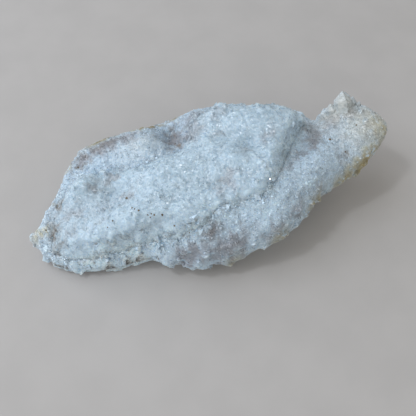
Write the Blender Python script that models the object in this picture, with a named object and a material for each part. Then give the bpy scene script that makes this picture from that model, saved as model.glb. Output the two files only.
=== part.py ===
"""A hand-sized specimen of calcite on quartz, lying with its crystals up.

A slanted, leaf-shaped plate of sugary quartz carries a lumpy crust of milky calcite. The plate is a
piece broken off a vein: its rim is a thin broken edge, its back is ledged and rises to the rim, and
it rests on a flat worn on the lowest part of that back. Both minerals end in flat-faced crystals.

Lengths are in millimetres until centre_on_floor() has run. +X runs along the specimen towards its
high tip, +Y towards its back, +Z up. The origin is under the middle, on the resting face.
"""

import math
import random

import bmesh
import bpy
from mathutils import Matrix, Vector, noise

MM = 0.001
SEED = 11

# ---- driving dimensions -------------------------------------------------------------------------

# The plate's broken rim, seen from above and counter-clockwise from the high tip: (x, y, height).
RIM = (
    (63.5, -3.5, 25), (61, 2, 26), (55, 8, 27), (50, 10.5, 27), (46.5, 10, 22), (43.5, 9.7, 18.5),
    (42, 12.3, 19.5), (38, 15.5, 21), (28, 18.5, 21), (17, 24.5, 22), (6, 27.5, 21), (-5, 28.8, 19.5),
    (-12, 28, 19.5), (-20, 28.4, 18.5), (-30, 28.8, 17), (-38.5, 28.5, 16.3), (-44.2, 23.4, 15.2),
    (-47, 21.2, 14.2), (-51.5, 14.4, 12.2), (-56.4, 9.5, 11.2), (-58.7, 6, 10.7), (-64, 3.8, 10.2),
    (-61.5, -2, 7), (-57, -8, 5),
    (-52, -11, 4), (-44, -13.5, 4), (-36, -15, 4.5), (-29.5, -16, 6), (-25.5, -17, 8), (-22, -21, 8),
    (-16.5, -21.5, 9), (-13.5, -25.5, 8), (-7, -25.5, 8), (-2, -27.8, 8.5), (1, -26.6, 10),
    (7, -26.8, 12), (15, -27.2, 14), (21, -24.5, 15), (28, -21, 16), (35, -16.5, 17), (43, -15, 18),
    (50, -13.5, 20), (57, -10, 22), (62, -6.2, 24),
)
RIM_THICKNESS = 3.2
LEAST_THICKNESS = 3.6  # of the plate, under its pits and gullies
RIM_BAND = math.radians(7)  # the slice of the sphere, either side of its equator, that becomes the rim

# The flat that the plate rests on, counter-clockwise: (x, y).
SEAT = ((20, -4), (12, 5), (-4, 9), (-24, 9), (-40, 5), (-48, -2), (-42, -8), (-24, -10),
        (-8, -15), (8, -16), (18, -12))
SEAT_MIDDLE = (-13.0, -3.0)

# Height of the quartz along the specimen, (x, height), before lumps and hollows.
SPINE = ((-64, 11), (-50, 15), (-35, 18), (-18, 20.5), (0, 23.5), (18, 26), (34, 25.5), (43, 22.5),
         (50, 26), (58, 27), (66, 25))
SHOULDER = 3.2  # how far out the top stays high before it rolls over to the rim
FRONT_SHOULDER = 6.5  # the same along the front, which ends in a steeper brow
FRONT_BLEND = 10.0  # the width from the specimen's middle line over which it becomes the front

# Lumps (above 0) and hollows (below 0): (x, y, height, half length, half width, turn in degrees).
QUARTZ_RELIEF = (
    (-8, 20, -9.0, 3.6, 6.5, 15),      # the deep pit at the back
    (-4, 28, -3.5, 3.0, 5.0, -10),     # the notch that the pit opens through
    (0, 22, 3.0, 4.5, 4.0, 0),         # the grey face right of the pit
    (34, 0, -4.8, 11, 3.8, 45),        # the gully between the calcite and the high tip
    (43, 8, -4.0, 3.5, 4, 45),         # the saddle that it starts from
    (36, -10, 2.0, 9, 3.5, 42),        # the sugary bank on its right
    (51, 8, 4.5, 4.0, 3.6, 20),        # the foot of the peak at the back of the tip
    (58, -1, 2.5, 7, 6, 10),           # the tip's own swell
    (-33, 22, 3.5, 9, 4, 5),           # the grey ledge along the back
    (-20, 19, 4.0, 9, 6, 0),           # the smooth swell left of the pit
    (-58, 3, 2.5, 4, 4, 0),            # the knob at the low end
    (-2, -21, -3.5, 13, 3.5, 0),       # the hollow above the front teeth
    (22, -16, 1.5, 12, 5, 35),         # the sugary shoulder at the right front
)

# The calcite's edge, counter-clockwise from above: (x, y).
CRUST_EDGE = (
    (40.2, 9.6), (37.5, 13.5), (27, 17), (18, 21), (8, 23), (1.5, 21), (-3.5, 15), (-8, 11.5),
    (-15, 11), (-22, 11), (-28, 12), (-34, 14), (-41, 15.5), (-47, 14.5), (-52, 11), (-55, 7),
    (-56.5, 1), (-58, -4), (-54, -8.5), (-47, -11.5), (-38, -13.5), (-30, -14.5), (-25, -15.5),
    (-17, -18.5), (-8, -18), (-1, -14.5), (8, -16.5), (15, -15.5), (21, -10), (26, -4.5), (31, 1),
)
CRUST_MIDDLE = (-8.0, -6.0)
CRUST_THICKNESS = 3.6
CRUST_EDGE_THICKNESS = 0.8
CRUST_TAPER = 7.0  # the width over which the crust thins out to its edge
CRUST_ROOT = 1.5  # how deep the crust would reach into the quartz before it is fitted to it
SEAT_GAP = 0.45  # between the crust and the quartz under it

# Lumps and hollows of the calcite, written as the quartz's are.
CRUST_RELIEF = (
    (24, 10, 4.5, 13, 6.5, -14),       # the big upper lump
    (10, 17, 4.0, 8, 5, -20),          # its left shoulder
    (39, 10.5, 5.0, 3.8, 5, -20),      # its right shoulder, over the gully
    (16, 2, -3.0, 4.5, 3, 20),         # the dent under the upper lump
    (6, -3, 2.6, 12, 6, -12),          # the middle ridge
    (-16, 2, 3.0, 10, 5, 8),           # the ridge's low end
    (-32, 3, -3.0, 3.5, 3.5, 0),       # the grey dent left of the ridge
    (-43, 11, 3.5, 7, 5, 20),          # the bright lump at the low end
    (-27, -8, 2.4, 13, 6, 0),          # the swell at the left front
    (-47, -5, 1.8, 6, 5, 0),           # the swell's low end
    (1, -10, -2.0, 3.0, 4.5, 20),      # the blue-grey dell in the middle
    (18, -9, 1.2, 8, 4.5, 35),         # the swell right of the dell
    (-12, -14, 1.5, 4, 3, 0),          # the lump over the front teeth
)

# Flat-faced crystals: how many, least spacing, and half widths from small to large.
CALCITE_CRYSTALS = 125
CALCITE_SPACING = 3.3
CALCITE_SIZE = (1.4, 2.7)
CALCITE_STRETCH = (0.65, 1.1)
CALCITE_SUNK = 0.85  # how much of a rhomb's half height is under the crust's surface
QUARTZ_CRYSTALS = 70
QUARTZ_SPACING = 3.4
QUARTZ_SIZE = (1.1, 2.0)
QUARTZ_LENGTH = (2.2, 3.2)
CRYSTAL_ROOT = 2.2  # how deep a quartz point's foot is
CRYSTAL_LEAN = 0.4  # how far a crystal's axis leans off the surface's normal, as a slope
QUARTZ_GRIT = 0.5  # how far the small crystals between these push the surface in and out
CALCITE_GRIT = 0.4
DRUSE_RIM = 0.97  # quartz points stay inside this share of the way out to the rim
DRUSE_EDGE = 1.03  # and outside this share of the way out to the calcite's edge
RHOMB_EDGE = 0.9  # calcite rhombs stay inside this share of it

# The larger quartz points: where the tip is, which way it points, half width, length of the prism.
LARGE_POINTS = (
    ((-22, -21.5, 7), (0.1, -1, -0.25), 3.0, 3.0),     # the left of the two teeth on the front rim
    ((-13.5, -26.5, 7), (0, -1, -0.2), 3.2, 3.0),      # the right one
    ((51.5, 9.5, 32), (-0.15, 0.2, 1), 2.6, 4.0),      # the peak at the back of the high tip
)
POINT_STEEPNESS = 1.25  # a quartz pyramid's height over its half width

# How fine the bodies start, in halvings of an icosahedron, and the share of their triangles that is
# kept before and after the crystals are joined to them.
FINENESS = 5
PLATE_KEPT = (0.55, 0.68)
CRUST_KEPT = (0.35, 0.52)
SHORTEST_EDGE = 0.0005


# ---- heights ------------------------------------------------------------------------------------

def between(table, x):
    """The value at x of a table of (x, value), straight between its entries."""
    if x <= table[0][0]:
        return table[0][1]
    for (x0, v0), (x1, v1) in zip(table, table[1:]):
        if x <= x1:
            return v0 + (v1 - v0) * (x - x0) / (x1 - x0)
    return table[-1][1]


def smooth(share):
    share = min(1.0, max(0.0, share))
    return share * share * (3 - 2 * share)


class Outline:
    """A closed outline round a middle, read by direction. Its points may carry a height."""

    def __init__(self, points, middle=(0.0, 0.0)):
        self.middle = middle
        shifted = [(p[0] - middle[0], p[1] - middle[1], p[2] if len(p) > 2 else 0.0) for p in points]
        self.points = sorted(shifted, key=lambda p: math.atan2(p[1], p[0]))
        start = self.points.index(shifted[0])
        if self.points[start:] + self.points[:start] != shifted:
            raise ValueError("a ray from the middle crosses the outline more than once")

    def reach(self, angle):
        """The distance from the middle to the outline in a direction, and the height there."""
        dx, dy = math.cos(angle), math.sin(angle)
        for a, b in zip(self.points, self.points[1:] + self.points[:1]):
            side_a = dx * a[1] - dy * a[0]
            side_b = dx * b[1] - dy * b[0]
            ahead = dx * (a[0] + b[0]) + dy * (a[1] + b[1]) > 0
            if ahead and side_a <= 0 < side_b:
                x, y, height = Vector(a).lerp(Vector(b), side_a / (side_a - side_b))
                return math.hypot(x, y), height
        raise ValueError("the outline doesn't close round its middle")

    def at(self, x, y):
        """How far out a point is (1 on the outline), the distance to the outline, its height."""
        x, y = x - self.middle[0], y - self.middle[1]
        far, height = self.reach(math.atan2(y, x))
        return math.hypot(x, y) / far, far, height


PLATE = Outline(RIM)
PLATE_ROUND_SEAT = Outline(RIM, SEAT_MIDDLE)
SEAT_OUTLINE = Outline(SEAT, SEAT_MIDDLE)
CRUST = Outline(CRUST_EDGE, CRUST_MIDDLE)


def is_bare_quartz(x, y):
    return PLATE.at(x, y)[0] < DRUSE_RIM and CRUST.at(x, y)[0] > DRUSE_EDGE


def is_well_in_crust(x, y):
    return CRUST.at(x, y)[0] < RHOMB_EDGE


def relief(table, x, y):
    """The lumps and hollows of a table, added up."""
    total = 0.0
    for lump_x, lump_y, height, half_length, half_width, turn in table:
        c, s = math.cos(math.radians(turn)), math.sin(math.radians(turn))
        along = ((x - lump_x) * c + (y - lump_y) * s) / half_length
        across = ((y - lump_y) * c - (x - lump_x) * s) / half_width
        total += height * math.exp(-along * along - across * across)
    return total


def quartz_top(x, y):
    """Height of the quartz's upper side. The rim itself keeps its own height."""
    share, _, rim = PLATE.at(x, y)
    share = min(share, 1.0)
    shoulder = SHOULDER + (FRONT_SHOULDER - SHOULDER) * smooth(-y / FRONT_BLEND)
    crown = rim + (between(SPINE, x) - rim) * (1 - share**shoulder)
    waves = 1.2 * noise.noise(Vector((x / 11, y / 9, 3.1)))
    return crown + (relief(QUARTZ_RELIEF, x, y) + waves) * (1 - 0.65 * smooth((share - 0.8) / 0.2))


def quartz_under(x, y):
    """Height of the broken back: flat where it rests, rising in ledges to the rim."""
    share, far, rim = PLATE_ROUND_SEAT.at(x, y)
    seat = SEAT_OUTLINE.at(x, y)[1] / far
    rise = max(0.0, (share - seat) / (1 - seat))
    ledges = 2.2 * noise.noise(Vector((x / 10, y / 6, 5.5))) + noise.noise(Vector((x / 4, y / 4, 2.5)))
    broken = (rim - RIM_THICKNESS) * rise**1.1 + ledges * min(1.0, 4 * rise, 4 * (1.02 - rise))
    return max(0.0, min(broken, quartz_top(x, y) - LEAST_THICKNESS * min(1.0, 0.85 + 4 * (1 - share))))


def crust_top(x, y):
    """Height of the calcite's upper side, before its crystals."""
    share, far, _ = CRUST.at(x, y)
    inside = (1 - share) * far
    thickness = CRUST_EDGE_THICKNESS
    thickness += (CRUST_THICKNESS - CRUST_EDGE_THICKNESS) * smooth(inside / CRUST_TAPER)
    swell = relief(CRUST_RELIEF, x, y) * smooth(inside / CRUST_TAPER)
    return quartz_top(x, y) + max(CRUST_EDGE_THICKNESS, thickness + swell)


def crust_root(x, y):
    return quartz_top(x, y) - CRUST_ROOT


def leaning(dice, height, x, y, step=0.8):
    """A crystal's axis: about straight out of an upper side."""
    slope_x = (height(x + step, y) - height(x - step, y)) / (2 * step)
    slope_y = (height(x, y + step) - height(x, y - step)) / (2 * step)
    lean = Vector((dice.uniform(-1, 1), dice.uniform(-1, 1), 0)) * CRYSTAL_LEAN
    return (Vector((-slope_x, -slope_y, 1)).normalized() + lean).normalized()


# ---- building blocks ----------------------------------------------------------------------------

def new_collection(name):
    made = bpy.data.collections.new(name)
    bpy.context.scene.collection.children.link(made)
    return made


def new_material(name, colour, roughness):
    made = bpy.data.materials.new(name)
    made.use_nodes = True
    shader = made.node_tree.nodes["Principled BSDF"]
    shader.inputs["Base Color"].default_value = (*colour, 1)
    shader.inputs["Roughness"].default_value = roughness
    made.diffuse_color = (*colour, 1)
    return made


def new_object(name, bm, group):
    mesh = bpy.data.meshes.new(name)
    bm.to_mesh(mesh)
    bm.free()
    made = bpy.data.objects.new(name, mesh)
    group.objects.link(made)
    return made


def new_cutter(name, bm, group):
    made = new_object(name, bm, group)
    made.hide_render = True
    made.display_type = "WIRE"
    return made


def lens(outline, top, under):
    """A closed body between two heights: an icosphere spread out to an outline."""
    half_x = max(abs(p[0]) for p in outline.points)
    half_y = max(abs(p[1]) for p in outline.points)
    bm = bmesh.new()
    bmesh.ops.create_icosphere(bm, subdivisions=FINENESS, radius=1.0)
    for vertex in bm.verts:
        tilt = math.asin(max(-1.0, min(1.0, vertex.co.z)))
        turn = math.atan2(vertex.co.y, vertex.co.x)
        angle = math.atan2(half_y * math.sin(turn), half_x * math.cos(turn))
        out = outline.reach(angle)[0] * min(1.0, (math.pi / 2 - abs(tilt)) / (math.pi / 2 - RIM_BAND))
        x = outline.middle[0] + out * math.cos(angle)
        y = outline.middle[1] + out * math.sin(angle)
        low, high = under(x, y), top(x, y)
        upness = min(1.0, max(0.0, 0.5 + 0.5 * tilt / RIM_BAND))
        vertex.co = (x, y, low + (high - low) * upness)
    return bm


def crystal_place(spot, axis, spin):
    """A placement that stands a crystal's +Z along an axis, spun round it."""
    upright = axis.to_track_quat("Z", "Y").to_matrix().to_4x4()
    return Matrix.Translation(spot) @ upright @ Matrix.Rotation(spin, 4, "Z")


CORNER_UP = Vector((1, 1, 1)).rotation_difference(Vector((0, 0, 1))).to_matrix().to_4x4()


def rhomb(place, half_width, stretch):
    """A calcite crystal: a cube stood on a corner, drawn out or squashed along that diagonal."""
    bm = bmesh.new()
    squash = Matrix.Diagonal((1, 1, stretch, 1))
    bmesh.ops.create_cube(bm, size=2 * half_width, matrix=place @ squash @ CORNER_UP)
    return bm


def point(place, half_width, length):
    """A quartz crystal: a six-sided prism with a pyramid on it, its foot at the placement."""
    bm = bmesh.new()
    made = bmesh.ops.create_cone(bm, cap_ends=True, segments=6, radius1=half_width, radius2=half_width,
                                 depth=length, matrix=place @ Matrix.Translation((0, 0, length / 2)))
    axis = place.to_3x3() @ Vector((0, 0, 1))
    faces = {face for vertex in made["verts"] for face in vertex.link_faces}
    end = max(faces, key=lambda face: face.calc_center_median().dot(axis))
    bmesh.ops.poke(bm, faces=[end], offset=POINT_STEEPNESS * half_width)
    return bm


def roughen(body, dice, grit, inside):
    """Pushes the upper side's vertices in and out where (x, y) passes a test."""
    bm = bmesh.new()
    bm.from_mesh(body.data)
    upper = [(v, v.normal.copy()) for v in bm.verts if v.normal.z > 0.3 and inside(v.co.x, v.co.y)]
    for vertex, normal in upper:
        vertex.co += normal * dice.uniform(-grit, grit)
    bm.to_mesh(body.data)
    bm.free()


def scatter(dice, inside, count, spacing, tries=9000):
    """Spots (x, y) in the rim's box that pass a test and keep their spacing."""
    spots = []
    for _ in range(tries):
        x, y = dice.uniform(-64, 64), dice.uniform(-30, 30)
        if inside(x, y) and all(math.hypot(x - a, y - b) > spacing for a, b in spots):
            spots.append((x, y))
            if len(spots) == count:
                break
    return spots


def settle(body):
    """Works a body's modifier into its mesh, unless the body would then touch itself."""
    evaluated = body.evaluated_get(bpy.context.evaluated_depsgraph_get())
    mesh = bpy.data.meshes.new_from_object(evaluated)
    body.modifiers.clear()
    bm = bmesh.new()
    bm.from_mesh(mesh)
    bpy.data.meshes.remove(mesh)
    bmesh.ops.remove_doubles(bm, verts=bm.verts, dist=SHORTEST_EDGE)
    keep_largest(bm)
    sound = all(vertex.is_manifold for vertex in bm.verts) and all(edge.is_manifold for edge in bm.edges)
    if bm.verts and sound:
        bmesh.ops.triangulate(bm, faces=bm.faces)
        bm.to_mesh(body.data)
    bm.free()


def cut_or_join(body, tool, operation, solver="EXACT"):
    boolean = body.modifiers.new(operation.lower(), "BOOLEAN")
    boolean.operation = operation
    boolean.solver = solver
    boolean.object = tool
    settle(body)


def cut_or_join_each(body, crystals, operation, group):
    """Joins crystals to a body, or cuts them out of it, one after the other."""
    for bm in crystals:
        crystal = new_cutter("crystal", bm, group)
        cut_or_join(body, crystal, operation)
        bpy.data.objects.remove(crystal)


def thin_out(body, ratio):
    """Leaves this share of a body's triangles, taking the ones that its flat faces don't need."""
    thinner = body.modifiers.new("thinner", "DECIMATE")
    thinner.ratio = ratio
    settle(body)


def keep_largest(bm):
    """Removes every loose piece but the one with most vertices."""
    left = set(bm.verts)
    pieces = []
    while left:
        front = [left.pop()]
        piece = set(front)
        while front:
            for edge in front.pop().link_edges:
                for vertex in edge.verts:
                    if vertex in left:
                        left.remove(vertex)
                        piece.add(vertex)
                        front.append(vertex)
        pieces.append(piece)
    largest = max(pieces, key=len, default=set())
    bmesh.ops.delete(bm, geom=[v for v in bm.verts if v not in largest], context="VERTS")


# ---- the specimen -------------------------------------------------------------------------------

def druse(grown):
    """The quartz points outside what the calcite covers, each larger all round by grown."""
    dice = random.Random(SEED)
    points = []
    for x, y in scatter(dice, is_bare_quartz, QUARTZ_CRYSTALS, QUARTZ_SPACING):
        axis = leaning(dice, quartz_top, x, y)
        foot = Vector((x, y, quartz_top(x, y))) - axis * CRYSTAL_ROOT
        place = crystal_place(foot, axis, dice.uniform(0, math.tau))
        half_width, length = dice.uniform(*QUARTZ_SIZE), dice.uniform(*QUARTZ_LENGTH)
        points.append(point(place, half_width + grown, length + grown))
    for tip, axis, half_width, length in LARGE_POINTS:
        axis = Vector(axis).normalized()
        foot = Vector(tip) - axis * (length + POINT_STEEPNESS * half_width)
        points.append(point(crystal_place(foot, axis, 0), half_width + grown, length + grown))
    return points


def rhombs(dice):
    """The calcite's crystals, with their corners out of the crust."""
    made = []
    for x, y in scatter(dice, is_well_in_crust, CALCITE_CRYSTALS, CALCITE_SPACING):
        axis = leaning(dice, crust_top, x, y)
        half_width, stretch = dice.uniform(*CALCITE_SIZE), dice.uniform(*CALCITE_STRETCH)
        centre = Vector((x, y, crust_top(x, y))) - axis * half_width * stretch * CALCITE_SUNK
        made.append(rhomb(crystal_place(centre, axis, dice.uniform(0, math.tau)), half_width, stretch))
    return made


def quartz_plate(group, cutters):
    """The plate with its druse, and the bed that it leaves for what grows on it."""
    plate = new_object("quartz_plate", lens(PLATE, quartz_top, quartz_under), group)
    thin_out(plate, PLATE_KEPT[0])
    roughen(plate, random.Random(SEED), QUARTZ_GRIT,
            lambda x, y: is_bare_quartz(x, y) and PLATE.at(x, y)[0] < 0.9)
    bm = bmesh.new()
    bm.from_mesh(plate.data)
    for vertex, normal in [(v, v.normal.copy()) for v in bm.verts]:
        vertex.co += normal * SEAT_GAP
    bed = new_cutter("bed", bm, cutters)
    cut_or_join_each(plate, druse(0), "UNION", cutters)
    thin_out(plate, PLATE_KEPT[1])
    return plate, bed


def calcite_crust(group, cutters, bed):
    """The crust with its rhombs, cut back to clear the quartz that it grows on."""
    dice = random.Random(SEED + 1)
    crust = new_object("calcite_crust", lens(CRUST, crust_top, crust_root), group)
    thin_out(crust, CRUST_KEPT[0])
    roughen(crust, dice, CALCITE_GRIT, is_well_in_crust)
    cut_or_join_each(crust, rhombs(dice), "UNION", cutters)
    cut_or_join(crust, bed, "DIFFERENCE", solver="MANIFOLD")  # the grown bed folds in narrow places
    cut_or_join_each(crust, druse(SEAT_GAP), "DIFFERENCE", cutters)
    thin_out(crust, CRUST_KEPT[1])
    return crust


def centre_on_floor(nodes, tools):
    """Moves the origin under the nodes' middle, on the resting face, and goes over to metres."""
    points = [vertex.co for node in nodes for vertex in node.data.vertices]
    low = Vector([min(p[i] for p in points) for i in range(3)])
    high = Vector([max(p[i] for p in points) for i in range(3)])
    foot = Vector(((low.x + high.x) / 2, (low.y + high.y) / 2, low.z))
    for made in (*nodes, *tools):
        made.data.transform(Matrix.Scale(MM, 4) @ Matrix.Translation(-foot))


def main():
    for old in list(bpy.data.objects):
        bpy.data.objects.remove(old)
    specimen = new_collection("calcite on quartz")
    cutters = new_collection("cutters")
    plate, bed = quartz_plate(specimen, cutters)
    crust = calcite_crust(specimen, cutters, bed)
    plate.data.materials.append(new_material("quartz", (0.62, 0.64, 0.66), 0.45))
    crust.data.materials.append(new_material("calcite", (0.80, 0.85, 0.90), 0.4))
    centre_on_floor((plate, crust), (bed,))


main()
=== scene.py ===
import math
import random

import bmesh
import bpy
import numpy as np
from mathutils import Matrix, Vector
from mathutils.bvhtree import BVHTree
from mathutils.kdtree import KDTree


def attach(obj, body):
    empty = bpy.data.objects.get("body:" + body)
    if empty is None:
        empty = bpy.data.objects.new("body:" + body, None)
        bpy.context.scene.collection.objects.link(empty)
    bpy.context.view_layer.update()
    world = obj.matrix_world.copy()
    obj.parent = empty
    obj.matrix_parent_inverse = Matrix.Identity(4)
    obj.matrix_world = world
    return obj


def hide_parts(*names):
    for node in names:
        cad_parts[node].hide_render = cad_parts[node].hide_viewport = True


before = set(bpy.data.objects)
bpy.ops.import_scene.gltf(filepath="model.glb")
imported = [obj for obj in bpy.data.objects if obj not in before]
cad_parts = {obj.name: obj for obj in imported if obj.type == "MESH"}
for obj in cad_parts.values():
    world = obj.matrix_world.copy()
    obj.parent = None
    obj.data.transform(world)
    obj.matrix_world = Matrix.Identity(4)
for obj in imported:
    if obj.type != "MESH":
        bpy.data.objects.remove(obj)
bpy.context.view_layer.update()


# ---- the quartz plate ---------------------------------------------------------------------------
# A piece of vein quartz, broken off all round and underneath: sugary and grey above, where its
# druse grows, and ledged, dull and stained with ochre on the break. It rests on one flat low place.

MM = 0.001                    # a size that isn't given with MM is a number of millimetres
PLATE_GRAIN = 0.475 * MM      # edge of the body's smallest facets
PLATE_SMOOTHING = (3, 2)      # before and after it takes in its larger crystals
SEAT_HEIGHT = 0.35 * MM       # what lies lower than this is laid on the flat that the plate rests on
LUMP_SIZE, LUMP_HEIGHT = 6.0, 0.4
FACET_SIZE, FACET_HEIGHT = 3.0, 0.2
SUGAR_SIZE, SUGAR_HEIGHT = 1.3, 0.12
LEDGE_SIZE, LEDGE_HEIGHT = 3.4, 1.0
LEDGE_STRETCH = (2, 1, 0.6)   # long along the plate, and thin
FACET_STEEPNESS = 4.0
FACETS_LOST = 0.7             # the share of the facets' height that smooth ground lacks
STOUT_SPACING, STOUT_SIZE = 1.9 * MM, (0.4 * MM, 1.1 * MM)     # half widths of the larger crystals
STOUT_LEAN = 0.5              # radians
POINT_STEEPNESS, POINT_SUNK = 0.95, 0.45      # of a six-sided point, over its half width
CRYSTAL_STRETCH = (0.75, 0.75, 0.8), (1.2, 1.2, 1.25)    # least and greatest, along its own axes
SMALL_SHARE = 2.2             # the power that makes small crystals the more common
DENSEST = 4e6                 # crystals to the square metre, before their spacing thins them out
QUARTZ_GROWS_FROM = 0.15      # how far up the quartz faces where crystals start to grow
GROWTH_BLEND = 0.35           # how much further up it faces where they grow fully
STOUT_HELD_BACK = 0.75        # the share of the larger crystals that smooth ground lacks
MELTING_ROUNDS, FACING_ROUNDS = 120, 40
MELTED_GROUND = (0.3, 0.6)    # how far up the ground faces where it starts to melt, and melts fully
UPPER_GROUND = (-0.1, 0.3)    # the same for where the break ends, and where the upper side starts
UNDER_GROUND = (-0.7, -0.1)   # and for where the underside ends
SWELL = 0.6 * MM              # which makes up for what melting takes off
LEAST_IRON = 0.45             # on the break, where no patch of iron lies
WAVE, IRON_WAVE = 0.8, 0.2    # how far the outlines of patches waver

# Soft patches of colour, seen from above: (x, y, half length, half width, turn in degrees, strength).
# Clear grey: real clear quartz in the fringe and elsewhere, and painted shade in the dark hollow and on the
# front face.
CLEAR_AND_SHADE_PATCHES = (
    (-39, 21.5, 5, 2.6, 15, 1.0), (-31, 22, 7, 3, 0, 1.0), (-23, 22.2, 4.5, 2.8, 0, 0.9),   # the fringe
    (-31.4, 8.7, 3.2, 2.2, 30, 1.0), (-38.4, 7, 2.4, 1.5, 20, 0.9),    # grey dents
    (-6.6, 18.4, 3.2, 5, 10, 1.0),     # the pit
    (-1.5, 14.5, 4, 5, 0, 1.0), (1, 22, 5, 4.4, 0, 0.8), (7, 15, 5, 3, -20, 0.6),   # the back strip
    (-9, 13, 3, 2.4, 0, 0.6), (20, 1, 5, 2.4, 25, 0.8), (12, -2, 4, 2, 0, 0.5),
    (38, 2, 4.4, 3.6, 50, 0.8), (36, -2.6, 3.6, 2.6, 30, 1.0),         # the gully
    (30, -5.5, 3.8, 1.8, 30, 0.9), (23.5, -9.7, 3, 2, 40, 0.7),
    (2.8, -9.5, 2.4, 3.4, 10, 1.0), (-1, -11, 2.2, 4, 20, 0.6),        # the dell in the middle
    (-5.8, -20, 3.4, 2.2, 0, 1.0),     # painted shade in the dark hollow under the dell
    (-15, -22.6, 8, 2.4, -8, 1.0), (-2.5, -24.6, 8, 3, 0, 1.0),           # painted shade on the front, which slopes away from the light
    # painted shade along the lower edge of the front, as far as the right
    (13, -26, 4, 2, 15, 0.8), (22, -22.5, 5, 1.8, 35, 0.7), (31, -18, 4, 1.6, 40, 0.6),
    (51, 2.5, 4.2, 2.6, 0, 0.8), (45.5, 4, 2.6, 4, 0, 0.9),            # the flat faces of the high tip
    (43, -10, 3, 4, 30, 0.6), (49, -9, 2, 2, 0, 0.4),
    (-54, 4, 2.4, 8, -15, 0.5), (-61, 2, 3, 3, 0, 0.5), (-46, 1.2, 5, 2.4, -20, 0.7),
    (-50, -4.8, 3, 2, 0, 0.6), (-28, -0.8, 3, 1.8, 0, 0.8), (-22, 3, 3, 1.6, 30, 0.4),
    (6, 8, 2.6, 1.4, 10, 0.4), (-41, 1, 12, 7, -10, 0.4), (-46, -3, 4, 3, 0, 0.5),
)
# Painted light: pale white laid on slopes that face away from the light, down the front to the rim and on the
# crust's right shoulder, and on the bright zone of glints in front of the dell.
PAINTED_LIGHT_PATCHES = (
    (29, 1, 3, 4.6, 20, 1.0), (16.5, -11, 5, 4, -20, 1.0), (8, -16, 4.4, 4, 0, 1.0),
    (12, -21.5, 6, 3, 10, 0.8), (-5.5, -15, 5, 2.4, 0, 1.0), (2, -18.6, 4.4, 2.6, 0, 0.9),
    (-12.5, -17, 5, 2.6, 0, 1.0), (-41, -12, 7, 3.4, -10, 1.0), (-32, -14.5, 6, 3.4, -5, 1.0),
    (-23, -15.4, 5, 2.6, 0, 0.9), (28.7, -17, 5, 2.4, 30, 1.0), (55, -9, 4, 2.4, 30, 1.0),
    (33, 3, 3, 3, 0, 0.8), (-22, -21, 2, 2, 0, 0.8), (-50, -9, 4, 3, 0, 0.6), (-47, -12, 8, 3.4, -15, 1.0),
    (-33, -16.5, 8, 3, -8, 1.0),
)
BUFF_PATCHES = (
    (56, -3, 11, 8, 0, 1.0), (49, 6, 8, 6, 0, 0.9), (-61, 2, 3, 3, 0, 0.5), (-19, 17, 8, 4.4, 0, 0.35),
)
CREAM_PATCHES = (
    (-59.2, 2.8, 2.6, 1.6, -10, 1.0), (-44.6, 22, 1.2, 1.0, 30, 1.0), (-17, 26.6, 2.2, 1.5, 0, 1.0),
    (60, -5, 2.4, 4, 25, 0.7), (50, -12.5, 9, 1.4, 22, 0.7), (-53, 10.5, 1.2, 1.0, 0, 0.4),
)
# Brown clay stains, and painted shade in clay's brown in the dark hollow under the dell (-5.8, -20) and on
# the shaded front (the last two).
CLAY_AND_SHADE_PATCHES = (
    (-6.5, 15.9, 2.6, 2.2, 0, 1.0), (-6.6, 21.4, 1.8, 2.8, 12, 0.8), (-5.2, 26, 1.0, 2.4, 20, 0.9),
    (-12, 26.4, 3.6, 0.8, 0, 0.7), (-33, 23, 9, 2.2, 4, 0.6), (-41, 19.6, 2.6, 0.6, -20, 1.0),
    (-40, 24, 2.2, 1.4, 20, 0.6), (38.3, -0.5, 2.8, 2, 20, 0.4), (35, -3.4, 2.6, 1.3, 25, 0.35),
    (29, -5.4, 2.6, 1.0, 30, 0.15), (-50.8, 8.8, 2.8, 1.5, -60, 1.0),
    (-54.8, -1.0, 1.8, 4.2, -8, 1.0), (-54.2, -5, 1.4, 2.6, 0, 0.8), (-5.8, -20, 2, 1.4, 0, 0.4),
    (44.9, -9, 1.1, 0.6, 30, 0.9), (46, -5, 2.4, 1.0, 30, 0.3),
    (57, 1, 4, 1.0, -40, 0.3), (53, 6, 5, 1.2, -25, 0.3), (-16, -23, 5, 1.4, -8, 0.15),
    (-2, -25.6, 6, 1.6, 0, 0.15),
)
IRON_PATCHES = (
    (52, -13.2, 11, 1.8, 25, 1.0), (42, -16.6, 6, 1.7, 18, 1.0), (30.3, -21, 5, 1.8, 35, 1.0),
    (14.5, -28, 5, 1.6, 12, 1.0), (-1.4, -28.6, 4, 1.5, 0, 0.9), (-31, 26.6, 7, 1.4, 2, 1.0),
    (-16.5, 26.8, 2, 1.3, 0, 1.0), (-12.5, 26.6, 4.4, 0.8, 0, 1.0), (-3.7, 27.4, 2.2, 1.0, 0, 0.9),
)
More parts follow.
